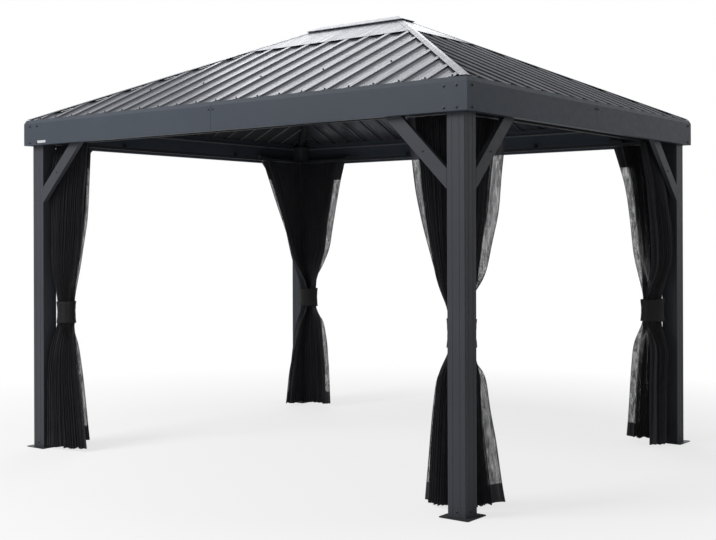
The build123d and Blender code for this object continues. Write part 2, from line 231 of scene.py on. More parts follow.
class Nodes:
    """The nodes of a material or a world: added by kind and joined by socket."""

    def __init__(self, owner):
        owner.use_nodes = True
        self.tree = owner.node_tree

    def add(self, kind, **settings):
        node = self.tree.nodes.new("ShaderNode" + kind)
        for key, value in settings.items():
            setattr(node, key, value)
        return node

    def join(self, source, target):
        self.tree.links.new(source, target)

    def math(self, operation, first, second=None):
        node = self.add("Math", operation=operation)
        for socket, value in zip(node.inputs, (first, second)):
            if value is None:
                continue
            if isinstance(value, (int, float)):
                socket.default_value = value
            else:
                self.join(value, socket)
        return node.outputs[0]

    def times(self, source, factor):
        return self.math("MULTIPLY", source, factor)

    def spread(self, source, low, high, out_low, out_high):
        """Maps the range from low to high onto the other range, and holds what lies beyond it."""
        node = self.add("MapRange")
        fill(node, {"From Min": low, "From Max": high, "To Min": out_low, "To Max": out_high})
        self.join(source, node.inputs["Value"])
        return node.outputs["Result"]


class Recipe(Nodes):
    """The material of a coat or a cloth, put together round one shader."""

    def __init__(self, name, colour, roughness, specular, metallic=0.0):
        self.material = bpy.data.materials.new(name)
        super().__init__(self.material)
        self.shader = self.tree.nodes["Principled BSDF"]
        fill(self.shader, {
            "Base Color": (*colour, 1),
            "Roughness": roughness,
            "Metallic": metallic,
            "Specular IOR Level": specular,
        })
        self.place = self.add("TexCoord").outputs["Object"]
        self.colour = colour
        self.bumped = None

    def noise(self, scale, size, detail, roughness):
        mapping = self.add("Mapping")
        mapping.inputs["Scale"].default_value = scale
        self.join(self.place, mapping.inputs["Vector"])
        node = self.add("TexNoise")
        fill(node, {"Scale": size, "Detail": detail, "Roughness": roughness})
        self.join(mapping.outputs["Vector"], node.inputs["Vector"])
        return node.outputs["Fac"]

    def shade_between(self, source, dark, light):
        """Colours between a darker and a lighter shade of the material's own colour."""
        ramp = self.add("Mix", data_type="RGBA")
        ramp.inputs["A"].default_value = (*(c * dark for c in self.colour), 1)
        ramp.inputs["B"].default_value = (*(c * light for c in self.colour), 1)
        self.join(source, ramp.inputs["Factor"])
        return ramp.outputs["Result"]

    def paint(self, colour):
        self.join(colour, self.shader.inputs["Base Color"])

    def gloss(self, roughness):
        self.join(roughness, self.shader.inputs["Roughness"])

    def bump(self, height, distance, strength):
        node = self.add("Bump")
        fill(node, {"Distance": distance, "Strength": strength})
        self.join(height, node.inputs["Height"])
        if self.bumped:
            self.join(self.bumped, node.inputs["Normal"])
        self.bumped = node.outputs["Normal"]
        self.join(self.bumped, self.shader.inputs["Normal"])


# Finishes of the metal. The range is where nearly all of a noise's values lie
EVEN = (1, 1, 1)
NOISE_RANGE = (0.3, 0.7)
MIXED_RANGE = (0.35, 0.65)
CLOUD_PART = 0.4
STREAK_PART = 0.3
HATCH_PART = 0.3
COOL_GLINT = (0.90, 0.93, 1.0, 1)

# Turns of a face's normal between which a pan becomes a rib side, and the underside the top. The
# pans' share of the colour is painted shade, the rib sides' whole colour is painted light, and the
# underside's share is painted shade
RIB_SIDE_TURN = (0.45, 0.7)
TOP_TURN = (-0.2, 0.0)
PAINTED_UNDERSIDE_SHADE = 0.6


def powder_coat(name, colour, roughness, drawn=None, specular=0.18):
    """Satin powder coat: a fine orange peel, faint cloudiness and, on drawn sections, die lines."""
    coat = Recipe(name, colour, roughness, specular)
    cloud = coat.noise(EVEN, size=2.3, detail=4, roughness=0.55)
    coat.paint(coat.shade_between(coat.spread(cloud, *NOISE_RANGE, 0, 1), dark=0.93, light=1.06))
    speck = coat.noise(EVEN, size=26, detail=3, roughness=0.6)
    coat.gloss(coat.spread(speck, *NOISE_RANGE, roughness - 0.05, roughness + 0.07))
    peel = coat.noise(EVEN, size=420, detail=2, roughness=0.5)
    coat.bump(peel, distance=0.00035, strength=0.35)
    if drawn:
        die_lines = coat.noise(drawn, size=1.0, detail=2, roughness=0.5)
        coat.bump(die_lines, distance=0.0006, strength=0.15)
    return coat.material


def baked_sheet(name, colour, roughness, axis, metallic=0.2, specular=0.5, pan_painted_shade=1.0):
    """Baked paint on rolled sheet: faint cloud and roll streaks, soft waves, and painted shade that
    darkens the underside.

    The axis is the one that crosses the ribs. The pans and crests take a share of the colour as
    painted shade, and the steep rib sides the whole of it as painted light.
    """
    def rolled(across, along):
        return (across, along, along) if axis == "X" else (along, across, along)

    sheet = Recipe(name, colour, roughness, specular, metallic)
    sheet.shader.inputs["Specular Tint"].default_value = COOL_GLINT
    cloud = sheet.noise(EVEN, size=3.1, detail=4, roughness=0.6)
    streak = sheet.noise(rolled(across=14, along=1.2), size=1.0, detail=3, roughness=0.6)
    hatch = sheet.noise(rolled(across=90, along=2), size=1.0, detail=2, roughness=0.6)
    broad = sheet.math("ADD", sheet.times(cloud, CLOUD_PART), sheet.times(streak, STREAK_PART))
    mixed = sheet.math("ADD", broad, sheet.times(hatch, HATCH_PART))
    shaded = sheet.shade_between(sheet.spread(mixed, *MIXED_RANGE, 0, 1), dark=0.82, light=1.18)
    facet = sheet.add("NewGeometry")
    turn = sheet.add("SeparateXYZ")
    sheet.join(facet.outputs["Normal"], turn.inputs[0])
    leaning = sheet.math("ABSOLUTE", turn.outputs[axis])
    # Painted shade on the pans and painted light on the rib sides, set by the turn of the face
    painted_rib_light = sheet.spread(leaning, *RIB_SIDE_TURN, pan_painted_shade, 1)
    # Painted shade: faces that look down keep only part of the colour
    painted_underside_shade = sheet.spread(turn.outputs["Z"], *TOP_TURN, PAINTED_UNDERSIDE_SHADE, 1)
    share = sheet.times(painted_rib_light, painted_underside_shade)
    scaled = sheet.add("VectorMath", operation="SCALE")
    sheet.join(shaded, scaled.inputs[0])
    sheet.join(share, scaled.inputs["Scale"])
    sheet.paint(scaled.outputs[0])
    sheet.gloss(sheet.spread(hatch, *NOISE_RANGE, roughness - 0.06, roughness + 0.08))
    waves = sheet.noise(EVEN, size=1.6, detail=1, roughness=0.4)
    sheet.bump(waves, distance=0.006, strength=0.25)
    sheet.bump(hatch, distance=0.0012, strength=0.5)
    return sheet.material


FRAME_PAINT = powder_coat("frame_powder_coat", (0.016, 0.017, 0.019), 0.5)
SCREW_PAINT = powder_coat("screw_head_paint", (0.018, 0.019, 0.022), 0.35, specular=0.5)
LEDGE_PAINT = powder_coat("ledge_powder_coat", (0.13, 0.135, 0.15), 0.35, specular=0.5)
BLANK_PLATE = powder_coat("blank_plate_enamel", (0.62, 0.63, 0.65), 0.4)
# Every sheet and the flashing have painted shade on their underside
LONG_SHEET = baked_sheet("ribbed_sheet_front_and_back", (0.085, 0.088, 0.105), 0.3, "X")
# The left and right sheets are a shaded copy of the roof sheet, with painted shade on the pans and
# painted light on the rib sides
SHORT_SHEET_PAINTED_LIGHT = baked_sheet(
    "ribbed_sheet_left_and_right", (0.28, 0.285, 0.31), 0.4, "Y",
    metallic=0.0, specular=0.0, pan_painted_shade=0.235,
)
FLASHING = baked_sheet("folded_flashing", (0.105, 0.11, 0.13), 0.3, "X")

# The finish of each node of the frame, by how its name starts
FINISHES = {
    "post": powder_coat("post_powder_coat", (0.056, 0.060, 0.070), 0.42, drawn=(70, 70, 0.6)),
    "base_plate": powder_coat("plate_powder_coat", (0.040, 0.042, 0.046), 0.38),
    "braces": powder_coat("brace_powder_coat", (0.054, 0.058, 0.068), 0.42, drawn=(30, 30, 8)),
    "beam": powder_coat("fascia_powder_coat", (0.055, 0.066, 0.084), 0.45, drawn=(1.2, 1.2, 60)),
    "curtain_rail": powder_coat("rail_powder_coat", (0.028, 0.030, 0.034), 0.4),
    "hip_rafter": FRAME_PAINT,
    "ridge_beam": FRAME_PAINT,
    "purlins": FRAME_PAINT,
    "roof_sheet_front": LONG_SHEET,
    "roof_sheet_back": LONG_SHEET,
    "roof_sheet_right": SHORT_SHEET_PAINTED_LIGHT,
    "roof_sheet_left": SHORT_SHEET_PAINTED_LIGHT,
    "crown_flashing": FLASHING,
    "hip_cap": FLASHING,
    "ridge_cap": FLASHING,
}


def dress_frame():
    for name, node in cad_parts.items():
        for start, finish in FINISHES.items():
            if name.startswith(start):
                node.data.materials.clear()
                node.data.materials.append(finish)


# Cloth finishes, woven along the cloth's own UV map in metres
DROP = 2.065
NET_COLOUR = (0.011, 0.011, 0.0145)
BAND_COLOUR = (0.0055, 0.0055, 0.0068)
MESH_PITCH = 0.0024
HEADER_BINDING = 0.15
HEM_BINDING = 0.10
SIDE_BINDING = 0.007

# Half the share of the mesh pitch that is open, in the folds and at the loose edge
GAP_IN_FOLDS = 0.145
GAP_AT_EDGE = 0.25
CRINKLE_RANGE = (0.35, 0.68)
CRINKLE_SHARES = (0.45, 1.25)
BAND_RIBS = 330


def cloth_map(cloth):
    """The sockets for the distance across the flat cloth and down it."""
    uv = cloth.add("UVMap", uv_map="cloth")
    split = cloth.add("SeparateXYZ")
    cloth.join(uv.outputs["UV"], split.inputs[0])
    return split.outputs["X"], split.outputs["Y"]


def woven_net(name, width):
    """Fine netting, see-through between its threads, with solid bindings round its edges."""
    net = Recipe(name, NET_COLOUR, roughness=0.75, specular=0.35)
    fill(net.shader, {"Sheen Weight": 0.15, "Sheen Roughness": 0.5})
    across, down = cloth_map(net)

    def thread(source):
        ripple = net.math("FRACT", net.times(source, 1 / MESH_PITCH))
        return net.math("ABSOLUTE", net.math("SUBTRACT", ripple, 0.5))

    threads = net.math("MAXIMUM", thread(across), thread(down))
    header = net.math("LESS_THAN", down, HEADER_BINDING)
    hem = net.math("GREATER_THAN", down, DROP - HEM_BINDING)
    start = net.math("LESS_THAN", across, SIDE_BINDING)
    end = net.math("GREATER_THAN", across, width - SIDE_BINDING)
    ends = net.math("MAXIMUM", header, hem)
    bindings = net.math("MAXIMUM", ends, net.math("MAXIMUM", start, end))
    single = net.add("Attribute", attribute_type="GEOMETRY", attribute_name="open_weave")
    wrinkles = net.noise((1, 1, 0.35), size=42, detail=4, roughness=0.7)
    crinkle = net.spread(wrinkles, *CRINKLE_RANGE, *CRINKLE_SHARES)
    gap = net.times(net.spread(single.outputs["Fac"], 0, 1, GAP_IN_FOLDS, GAP_AT_EDGE), crinkle)
    covered = net.math("GREATER_THAN", threads, gap)
    net.join(net.math("MAXIMUM", covered, bindings), net.shader.inputs["Alpha"])
    wear = net.noise(EVEN, size=9, detail=3, roughness=0.6)
    net.paint(net.shade_between(wear, dark=0.6, light=2.2))
    net.bump(threads, distance=0.0005, strength=0.5)
    creases = net.noise((1, 1, 0.5), size=45, detail=4, roughness=0.6)
    net.bump(creases, distance=0.006, strength=0.7)
    return net.material


def woven_band(name):
    """Plain woven polyester with a diagonal rib."""
    band = Recipe(name, BAND_COLOUR, roughness=0.8, specular=0.35)
    band.shader.inputs["Sheen Weight"].default_value = 0.06
    uv = band.add("UVMap", uv_map="cloth")
    ribs = band.add("TexWave", wave_type="BANDS", bands_direction="DIAGONAL")
    ribs.inputs["Scale"].default_value = BAND_RIBS
    band.join(uv.outputs["UV"], ribs.inputs["Vector"])
    wear = band.noise(EVEN, size=14, detail=3, roughness=0.6)
    band.paint(band.shade_between(wear, dark=0.7, light=1.6))
    band.bump(ribs.outputs["Fac"], distance=0.0004, strength=0.5)
    creases = band.noise((1, 1, 2.4), size=38, detail=3, roughness=0.55)
    band.bump(creases, distance=0.004, strength=0.5)
    return band.material


# Curtains: each corner has one panel on each of its two rails, gathered round a waist
LONG_PANEL = 1.72
SHORT_PANEL = 1.36
NETTING_LONG = woven_net("mosquito_netting_long_panels", LONG_PANEL)
NETTING_SHORT = woven_net("mosquito_netting_short_panels", SHORT_PANEL)
TIE_CLOTH = woven_band("tie_webbing")
LONG_SEED = 11
SHORT_SEED = 31
TIE_SEED = 51

# The pleats
FOLD = 0.044
STEPS_PER_FOLD = 5
ROWS = 72
LANES = 9
BELOW_RAIL = 0.006
EDGE_RAMP = 0.03
LOOSE_FULL = 0.9
MOST_SPARE = 5.5
SHORTEST_LINE = 0.05
LEAST_DEPTH = 0.02
CREST_ROUND = 0.8
EDGE_FLAT = 0.75
PLAN_SMOOTHING = 5

# How the pleats change down the panel: shares of the drop, and heights in metres
WAIST_HEIGHT = 0.93
WAIST_SPAN = 0.16
WAIST_PRESS = 0.25
DRIFT_GROWS = 2.2
SWING_GROWS = 3
HEM_STARTS = 0.9
HEM_GROWS = 10

# Clearances from the posts and the ground
POST_CLEAR = 0.003
GROUND_CLEAR = 0.005


def smooth_noise(rng, length, knots, amount):
    """A wandering line of gentle random waves."""
    values = rng.uniform(-1, 1, knots)
    at = np.linspace(0, knots - 1, length)
    low = np.clip(at.astype(int), 0, knots - 2)
    part = at - low
    part = part * part * (3 - 2 * part)
    return amount * (values[low] * (1 - part) + values[low + 1] * part)


def smoothed(table, passes):
    for _ in range(passes):
        inner = (table[:-2] + 2 * table[1:-1] + table[2:]) / 4
        table = np.concatenate([table[:1], inner, table[-1:]])
    return table


def between_lanes(lanes, row, columns):
    """The values of a row at each column, from lanes that run down the panel."""
    values = np.array([lane[row] for lane in lanes])
    at = np.linspace(0, LANES - 1, columns)
    low = np.clip(at.astype(int), 0, LANES - 2)
    part = at - low
    return values[low] * (1 - part) + values[low + 1] * part


def gathered_line(start, middle, end, cloth, loose, edge, uneven):
    """The panel's line at one height, as a point for each column of the cloth.

    The line is curved, and its loose end takes up more of the length than the pleats do.
    """
    straight = np.linalg.norm(end - start)
    bent = np.linalg.norm(middle - start), np.linalg.norm(end - middle)
    length = (straight + bent[0] + bent[1]) / 2
    pleated = LOOSE_FULL * (cloth[-1] - loose)
    spare = min(MOST_SPARE, pleated / max(SHORTEST_LINE, length - LOOSE_FULL * loose)) - 1
    share = (1 + spare * edge) * uneven
    along = np.concatenate([[0], np.cumsum((share[1:] + share[:-1]) / 2)])
    s = along[:, None] / along[-1]
    return (1 - s) ** 2 * start + 2 * s * (1 - s) * middle + s**2 * end


def pleated_points(cloth, edge, loose, plan, seed):
    """The panel's points, row by row: along its own rail, inwards from it, and in height."""
    rng = np.random.default_rng(seed)
    columns = len(cloth)
    top = RAIL_UNDER - BELOW_RAIL
    heights = np.linspace(top, top - DROP, ROWS)
    levels = [row[0] for row in plan][::-1]
    table = np.array([[value for pair in row[1:] for value in pair] for row in plan][::-1])
    control = np.array([np.interp(heights, levels, values) for values in table.T]).T
    control = smoothed(control, PLAN_SMOOTHING)

    uneven = 1 + smooth_noise(rng, columns, knots=11, amount=0.35) * (1 - edge)
    fold_phase = cloth / FOLD + smooth_noise(rng, columns, knots=15, amount=0.22)
    deep = 1 + smooth_noise(rng, columns, knots=19, amount=0.28)
    crest_drift = [smooth_noise(rng, ROWS, knots=9, amount=0.30) for _ in range(LANES)]
    sway = [smooth_noise(rng, ROWS, knots=7, amount=0.006) for _ in range(LANES)]
    hem_wave = smooth_noise(rng, columns, knots=17, amount=0.007)

    points = np.zeros((ROWS, columns, 3))
    for row, height in enumerate(heights):
        start, middle, end = control[row, 0:2], control[row, 2:4], control[row, 4:6]
        line = gathered_line(start, middle, end, cloth, loose, edge, uneven)
        step = np.gradient(line, cloth, axis=0)
        speed = np.linalg.norm(step, axis=1)
        side = np.stack([-step[:, 1], step[:, 0]], axis=1) / speed[:, None]
        depth = FOLD * np.sqrt(np.clip(1 - speed**2, LEAST_DEPTH, 1)) * deep
        down = (RAIL_UNDER - height) / DROP
        slack = 1 - WAIST_PRESS * math.exp(-(((height - WAIST_HEIGHT) / WAIST_SPAN) ** 2))
        drift = between_lanes(crest_drift, row, columns) * min(1, DRIFT_GROWS * down)
        swing = between_lanes(sway, row, columns) * min(1, SWING_GROWS * down)
        wave = np.sin(math.pi * (fold_phase + drift))
        wave = np.sign(wave) * np.abs(wave) ** CREST_ROUND
        shift = depth / 2 * wave * (1 - EDGE_FLAT * edge) * slack + swing
        points[row, :, :2] = line + side * shift[:, None]
        points[row, :, 2] = height + hem_wave * max(0, down - HEM_STARTS) * HEM_GROWS
    return points[..., 0], points[..., 1], points[..., 2]


def clear_of_post(u, v):
    """Moves points that lie inside the post out to the nearer of its two inner faces."""
    inside = (u < POST_CLEAR) & (v < POST_CLEAR)
    nearer_u = u > v
    return (
        np.where(inside & nearer_u, POST_CLEAR, u),
        np.where(inside & ~nearer_u, POST_CLEAR, v),
    )


def lay_cloth(name, places, across, rows, drop, turned):
    """A smooth grid of cloth, with a UV map in metres of the flat cloth."""
    columns = len(across)
    faces = []
    for row in range(rows - 1):
        for column in range(columns - 1):
            first = row * columns + column
            face = (first, first + 1, first + columns + 1, first + columns)
            faces.append(face[::-1] if turned else face)
    mesh = bpy.data.meshes.new(name)
    mesh.from_pydata(places, [], faces)
    layer = mesh.uv_layers.new(name="cloth")
    point = np.zeros(len(mesh.loops), dtype=np.int32)
    mesh.loops.foreach_get("vertex_index", point)
    uv = np.stack([across[point % columns], drop * (point // columns) / (rows - 1)], axis=-1)
    layer.data.foreach_set("uv", uv.ravel())
    piece = link(name, mesh)
    pick(piece)
    bpy.ops.object.shade_smooth()
    return piece


def hang_panel(name, corner, on_long_rail, width, loose, plan, seed, material):
    """A pleated panel whose plan changes with height from the rail to the waist and the hem.

    The plan gives, for each height, the start, middle and end of the panel's line: distance along
    its own rail and distance inwards, measured from the post's inner corner.
    """
    sx, sy = CORNERS[corner]
    folds = 2 * round(width / (2 * FOLD))
    cloth = np.linspace(0, width, folds * STEPS_PER_FOLD + 1)
    edge = np.clip((cloth - (width - loose)) / EDGE_RAMP, 0, 1)
    along, inward, height = pleated_points(cloth, edge, loose, plan, seed)
    u, v = clear_of_post(*((along, inward) if on_long_rail else (inward, along)))
    x, y = corner_point(corner, u, v)
    places = np.stack([x, y, np.maximum(height, GROUND_CLEAR)], axis=-1).reshape(-1, 3)
    turned = (sx * sy > 0) == on_long_rail
    piece = lay_cloth(name, places.tolist(), cloth, ROWS, DROP, turned)
    openness = piece.data.attributes.new("open_weave", "FLOAT", "POINT")
    openness.data.foreach_set("value", np.tile(edge, ROWS))
    finish_piece(piece, name, material, [f"curtain_{corner}"])


# Where a panel's line runs at the waist, in shares of the girth from the centre
WAIST_START = (-0.45, -0.45)
WAIST_MIDDLE = (0.95, -0.60)
WAIST_END = (0.60, 0.42)

# Heights in metres: the waist's own rows, how far from the waist the line has reached the post, and
# where the chest and the header begin. The middle of a line is a share of the way to its free edge
WAIST_LEVELS = (1.03, 0.83)
WAIST_TO_POST = 0.35
CHEST_ABOVE = 1
HEADER_ABOVE = 2
HEADER_START = (0.018, RAIL_MIDDLE)
START_PART = 0.45
REACH_PART = 0.55


def panel_plan(centre, girth, starts, edges):
    """Start, middle and end of a panel's line at each height, along its rail and inwards from it.

    The centre and girth are those of the waist. The starts are beside the post at the chest and at
    the hem. Each edge gives a height, the bulge of the middle, and the free edge's reach and sweep.
    """
    waist = [
        (centre[0] + out * girth, centre[1] + inwards * girth)
        for out, inwards in (WAIST_START, WAIST_MIDDLE, WAIST_END)
    ]
    rows = [(level, *waist) for level in WAIST_LEVELS]
    for height, bulge, reach, sweep in edges:
        if height > HEADER_ABOVE:
            start = HEADER_START
        else:
            start = starts[0] if height > CHEST_ABOVE else starts[1]
        part = min(1, abs(height - WAIST_HEIGHT) / WAIST_TO_POST)
        begin = tuple(a + (b - a) * part for a, b in zip(waist[0], start))
        middle = (begin[0] * START_PART + reach * REACH_PART, bulge)
        rows.append((height, begin, middle, (reach, sweep)))
    return sorted(rows, reverse=True)


# Each bundle has the centre and girth of its waist, the starts of its long panel at the chest and
# at the hem, and for each panel the width that hangs loose and the rows of its free edge
Bundle = namedtuple("Bundle", "centre girth starts long_loose long_edges short_loose short_edges")
RAIL = RAIL_MIDDLE
BUNDLES = {
    "front_right": Bundle(
        centre=(0.048, 0.108),
        girth=0.080,
        starts=((0.025, 0.030), (0.030, 0.040)),
        long_loose=0.09,
        long_edges=(
            (2.10, RAIL, 0.335, RAIL), (1.69, 0.01, 0.29, 0.03), (1.46, 0.00, 0.245, 0.04),
            (1.22, 0.00, 0.185, 0.06), (0.73, 0.00, 0.175, 0.06), (0.51, 0.00, 0.205, 0.06),
            (0.25, 0.00, 0.235, 0.06), (0.0, 0.00, 0.26, 0.06),
        ),
        short_loose=0.16,
        short_edges=(
            (2.10, RAIL, 0.53, RAIL), (1.76, 0.01, 0.45, 0.01), (1.56, 0.00, 0.405, 0.00),
            (1.40, 0.00, 0.34, 0.00), (1.22, 0.00, 0.27, 0.00), (0.73, -0.01, 0.27, 0.00),
            (0.51, -0.03, 0.275, -0.02), (0.34, -0.05, 0.27, -0.06), (0.13, -0.07, 0.28, -0.09),
            (0.0, -0.08, 0.285, -0.115),
        ),
    ),
    "front_left": Bundle(
        centre=(0.048, 0.046),
        girth=0.068,
        starts=((0.012, -0.035), (0.030, -0.085)),
        long_loose=0.05,
        long_edges=(
            (2.10, RAIL, 0.33, RAIL), (1.93, -0.01, 0.31, 0.02), (1.71, -0.03, 0.275, 0.02),
            (1.46, -0.04, 0.255, 0.02), (1.25, -0.04, 0.22, 0.02), (0.70, -0.05, 0.225, 0.00),
            (0.52, -0.07, 0.25, -0.01), (0.35, -0.09, 0.30, -0.02), (0.0, -0.11, 0.365, -0.03),
        ),
        short_loose=0.05,
        short_edges=(
            (2.10, RAIL, 0.30, RAIL), (1.56, 0.01, 0.25, 0.03), (1.22, 0.01, 0.17, 0.05),
            (0.70, 0.01, 0.15, 0.05), (0.45, 0.02, 0.18, 0.07), (0.0, 0.03, 0.22, 0.09),
        ),
    ),
    "back_right": Bundle(
        centre=(0.036, 0.080),
        girth=0.082,
        starts=((0.010, 0.022), (0.005, 0.022)),
        long_loose=0.12,
        long_edges=(
            (2.10, RAIL, 0.365, RAIL), (1.83, 0.02, 0.27, 0.03), (1.69, 0.02, 0.245, 0.03),
            (1.53, 0.02, 0.22, 0.04), (1.32, 0.02, 0.188, 0.06), (0.70, 0.02, 0.19, 0.06),
            (0.48, 0.02, 0.22, 0.04), (0.1, 0.02, 0.25, 0.03), (0.0, 0.02, 0.26, 0.03),
        ),
        short_loose=0.05,
        short_edges=(
            (2.10, RAIL, 0.34, RAIL), (1.80, -0.12, 0.30, -0.02), (1.50, -0.21, 0.27, -0.03),
            (1.25, -0.20, 0.22, -0.02), (0.70, -0.14, 0.20, 0.00), (0.42, -0.11, 0.22, 0.00),
            (0.0, -0.11, 0.27, -0.02),
        ),
    ),
    "back_left": Bundle(
        centre=(0.106, 0.040),
        girth=0.077,
        starts=((0.022, 0.022), (0.024, 0.024)),
        long_loose=0.12,
        long_edges=(
            (2.10, RAIL, 0.50, RAIL), (1.93, 0.01, 0.455, 0.02), (1.73, 0.01, 0.42, 0.03),
            (1.48, 0.01, 0.37, 0.04), (1.35, 0.00, 0.345, 0.04), (1.14, 0.00, 0.25, 0.06),
            (0.78, 0.00, 0.275, 0.05), (0.54, 0.01, 0.315, 0.04), (0.34, 0.01, 0.34, 0.04),
            (0.0, 0.01, 0.36, 0.05),
        ),
        short_loose=0.07,
        short_edges=(
            (2.10, RAIL, 0.52, RAIL), (1.96, 0.01, 0.46, 0.02), (1.70, 0.01, 0.335, 0.02),
            (1.52, 0.01, 0.26, 0.03), (1.25, 0.01, 0.175, 0.06), (0.70, 0.02, 0.13, 0.08),
            (0.55, 0.02, 0.16, 0.06), (0.30, 0.02, 0.21, 0.04), (0.0, 0.02, 0.255, 0.03),
        ),
    ),
}

# The ties: a band whose ends overlap, wound by angle round the waist
TIE_STEPS = 96
TIE_ROWS = 11
TIE_WIDE = 0.15
TIE_STARTS = -0.35
TIE_ENDS = 2 * math.pi - 0.05
TIE_OVERLAP = 0.3
TIE_LIFTS_AFTER = 2 * math.pi - 0.5
TIE_LIFT = 0.004
TIE_HOLLOW = 0.005
TIE_THICK = 0.0018


def wrap_tie(corner, centre, girth, seed):
    """A flat band round the waist of a bundle, creased and overlapped where it closes."""
    rng = np.random.default_rng(seed)
    sx, sy = CORNERS[corner]
    columns = TIE_STEPS + 1
    angle = np.linspace(TIE_STARTS, TIE_ENDS, columns)
    ripple = smooth_noise(rng, columns, knots=19, amount=0.0035)
    slope = smooth_noise(rng, columns, knots=5, amount=0.006)
    lift = TIE_LIFT * (angle > TIE_LIFTS_AFTER)
    places = []
    for row in range(TIE_ROWS):
        part = row / (TIE_ROWS - 1)
        crease = smooth_noise(rng, columns, knots=25, amount=0.0012)
        radius = girth - TIE_HOLLOW * math.sin(math.pi * part) + ripple + lift + crease
        height = TIE_LOW + (TIE_TOP - TIE_LOW) * part + slope * (0.5 - part)
        u = centre[0] + radius * np.cos(angle)
        v = centre[1] + radius * np.sin(angle)
        places += zip(*corner_point(corner, u, v), height)
    name = f"tie_band_{corner}"
    length = girth * (2 * math.pi + TIE_OVERLAP)
    across = length * np.arange(columns) / TIE_STEPS
    band = lay_cloth(name, places, across, TIE_ROWS, TIE_WIDE, sx * sy < 0)
    thick = band.modifiers.new("webbing", "SOLIDIFY")
    thick.thickness = TIE_THICK
    thick.offset = 0
    bpy.ops.object.modifier_apply(modifier="webbing")
    finish_piece(band, name, TIE_CLOTH, [f"curtain_tie_{corner}"])


def hang_curtains():
    for number, (corner, bundle) in enumerate(BUNDLES.items()):
        centre, girth, starts = bundle.centre, bundle.girth, bundle.starts
        turned_starts = [start[::-1] for start in starts]
        long_plan = panel_plan(centre, girth, starts, bundle.long_edges)
        short_plan = panel_plan(centre[::-1], girth, turned_starts, bundle.short_edges)
        hang_panel(
            f"netting_{corner}_long", corner, True, LONG_PANEL, bundle.long_loose,
            long_plan, LONG_SEED + number, NETTING_LONG,
        )
        hang_panel(
            f"netting_{corner}_short", corner, False, SHORT_PANEL, bundle.short_loose,
            short_plan, SHORT_SEED + number, NETTING_SHORT,
        )
        wrap_tie(corner, centre, girth, TIE_SEED + number)


# Fasteners, modelled once each and copied
FLANGE_THICK = 0.0016
FLANGE_RIM = 0.18
FLANGE_DOME = 0.0006
HEAD_FOOT = 0.002
HEAD_RIM = 0.1
HEAD_DOME = 0.16

# Where they are, from the fascia's corners and its lower edge
LONG_FASCIA_COLUMNS = (0.066, 0.142)
SHORT_FASCIA_COLUMNS = (0.053,)
FASCIA_ROWS = (0.018, 0.130)
SEAM_SPREAD = 0.016
SEAM_ROW = 0.128

# On the ribs, from the eave up the slope, and how far they keep from the ends of the eave
EAVE_SCREW = 0.022
EAVE_SCREW_MARGIN = 0.04
UPPER_SCREW = 0.462
UPPER_SCREW_MARGIN = 0.55
UPPER_SCREW_EVERY = 3

# On the braces, from the post and from the brace's foot, and on the posts above the ground
BRACE_SCREW = 0.1495
BRACE_FOOT = 1.743
FOOT_SCREW = 0.034


def looks_up(centre, normal):
    return normal.z > 0.5


def flanged_bolt(across, head_high, flange):
    """A hexagon head on a round washer flange, standing on Z = 0."""
    bpy.ops.mesh.primitive_cylinder_add(
        vertices=14, radius=flange, depth=FLANGE_THICK, location=(0, 0, FLANGE_THICK / 2)
    )
    washer = bpy.context.active_object
    raise_panel(washer, looks_up, flange * FLANGE_RIM, (0, 0, FLANGE_DOME))
    bpy.ops.mesh.primitive_cylinder_add(
        vertices=6, radius=across / 2 / math.cos(math.pi / 6), depth=head_high,
        location=(0, 0, HEAD_FOOT + head_high / 2),
    )
    head = bpy.context.active_object
    raise_panel(head, looks_up, across * HEAD_RIM, (0, 0, head_high * HEAD_DOME))
    pick(washer, head)
    bpy.ops.object.join()
    settle(washer)
    return washer


def add_fascia_bolts():
    bolt = flanged_bolt(across=0.010, head_high=0.005, flange=0.0085)
    for side, (_, _, half, _) in SIDES.items():
        columns = LONG_FASCIA_COLUMNS if side in LONG_SIDES else SHORT_FASCIA_COLUMNS
        places = [
            fascia_place(side, end * (half - column), HEAD_ROOM + row)
            for end in (-1, 1) for column in columns for row in FASCIA_ROWS
        ]
        copy_to(bolt, places, f"fascia_bolts_{side}", SCREW_PAINT)
    discard(bolt)


